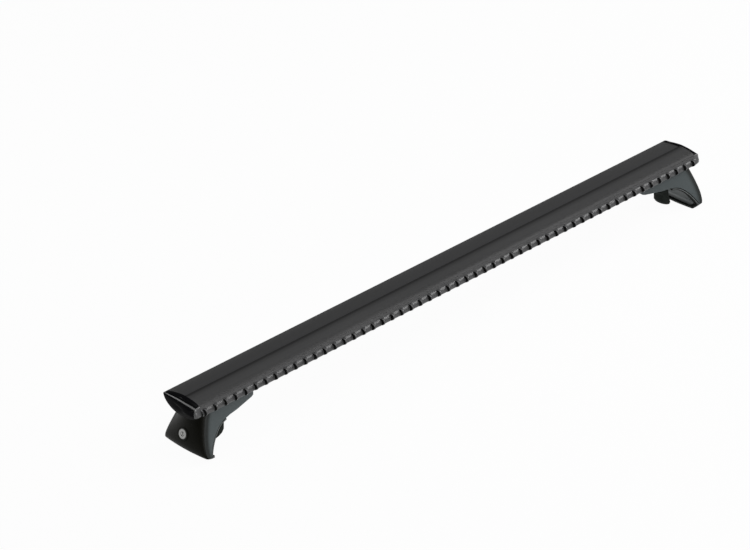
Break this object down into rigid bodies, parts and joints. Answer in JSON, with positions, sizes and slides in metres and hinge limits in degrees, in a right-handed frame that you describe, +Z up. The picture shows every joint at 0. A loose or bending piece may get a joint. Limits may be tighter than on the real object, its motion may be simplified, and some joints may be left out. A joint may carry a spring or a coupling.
{
  "type": "roof rack crossbar",
  "caption": "Aerodynamic roof rack crossbar: a hollow wing-section bar with a toothed nose strip, end caps and lockable clamping feet.",
  "frame": {"origin": "on the ground under the middle of the bar, midway between the feet", "axes": "+X along the bar, -Y towards the toothed nose, +Z up; the part stands on its feet"},
  "size_m": [1.101, 0.0938, 0.0923],
  "materials": {
    "black_anodised": "satin black anodised",
    "strip_rubber": "satin",
    "cap_gloss": "gloss",
    "foot_plastic": "fine grained",
    "cover_plastic": "satin",
    "jaw_plastic": "matt",
    "pad_rubber": "matt",
    "zinc_steel": "zinc plated",
    "lock_silver": "satin"
  },
  "bodies": {
    "bar": {"wing_bar": "black_anodised", "wind_strip": "strip_rubber", "slot_cover": "strip_rubber", "end_cap_left": "cap_gloss", "end_cap_right": "cap_gloss"},
    "foot_left": {"foot_shell_left": "foot_plastic", "arch_pad_left": "pad_rubber", "carrier_left": "zinc_steel", "slot_plate_left": "zinc_steel", "inner_fixing_left": "zinc_steel", "outer_fixing_left": "zinc_steel", "screw_washer_left": "zinc_steel"},
    "cover_left": {"end_cover_left": "cover_plastic", "lock_ring_left": "cover_plastic"},
    "lock_left": {"lock_barrel_left": "lock_silver", "lock_cam_left": "zinc_steel"},
    "screw_left": {"clamp_screw_left": "zinc_steel"},
    "jaw_left": {"clamp_jaw_left": "jaw_plastic", "jaw_liner_left": "pad_rubber", "clamp_nut_left": "zinc_steel"},
    "foot_right": {"foot_shell_right": "foot_plastic", "arch_pad_right": "pad_rubber", "carrier_right": "zinc_steel", "slot_plate_right": "zinc_steel", "inner_fixing_right": "zinc_steel", "outer_fixing_right": "zinc_steel", "screw_washer_right": "zinc_steel"},
    "cover_right": {"end_cover_right": "cover_plastic", "lock_ring_right": "cover_plastic"},
    "lock_right": {"lock_barrel_right": "lock_silver", "lock_cam_right": "zinc_steel"},
    "screw_right": {"clamp_screw_right": "zinc_steel"},
    "jaw_right": {"clamp_jaw_right": "jaw_plastic", "jaw_liner_right": "pad_rubber", "clamp_nut_right": "zinc_steel"}
  },
  "joints": [
    {"name": "foot_left_slide", "type": "slide", "parent": "bar", "child": "foot_left", "axis": [1, 0, 0], "range_m": [0, 0.15]},
    {"name": "cover_left_pull", "type": "slide", "parent": "foot_left", "child": "cover_left", "axis": [-1, 0, 0], "range_m": [0, 0.03]},
    {"name": "lock_left_turn", "type": "hinge", "parent": "cover_left", "child": "lock_left", "pos_m": [-0.54746, 0, 0.0335], "axis": [0.9659, 0, -0.2588], "range_deg": [0, 90]},
    {"name": "screw_left_turn", "type": "hinge", "parent": "foot_left", "child": "screw_left", "pos_m": [-0.5166, -0.005, 0.05], "axis": [-1, 0, 0], "range_deg": [0, 7921]},
    {"name": "jaw_left_slide", "type": "slide", "parent": "foot_left", "child": "jaw_left", "axis": [1, 0, 0], "range_m": [0, 0.022]},
    {"name": "foot_right_slide", "type": "slide", "parent": "bar", "child": "foot_right", "axis": [-1, 0, 0], "range_m": [0, 0.15]},
    {"name": "cover_right_pull", "type": "slide", "parent": "foot_right", "child": "cover_right", "axis": [1, 0, 0], "range_m": [0, 0.03]},
    {"name": "lock_right_turn", "type": "hinge", "parent": "cover_right", "child": "lock_right", "pos_m": [0.54746, 0, 0.0335], "axis": [0.9659, 0, 0.2588], "range_deg": [0, 90]},
    {"name": "screw_right_turn", "type": "hinge", "parent": "foot_right", "child": "screw_right", "pos_m": [0.5166, -0.005, 0.05], "axis": [1, 0, 0], "range_deg": [0, 7921]},
    {"name": "jaw_right_slide", "type": "slide", "parent": "foot_right", "child": "jaw_right", "axis": [-1, 0, 0], "range_m": [0, 0.022]}
  ],
  "couplings": [
    {"joint": "screw_left_turn", "follows": "jaw_left_slide", "rad_per_m": 6283.2},
    {"joint": "screw_right_turn", "follows": "jaw_right_slide", "rad_per_m": 6283.2}
  ]
}
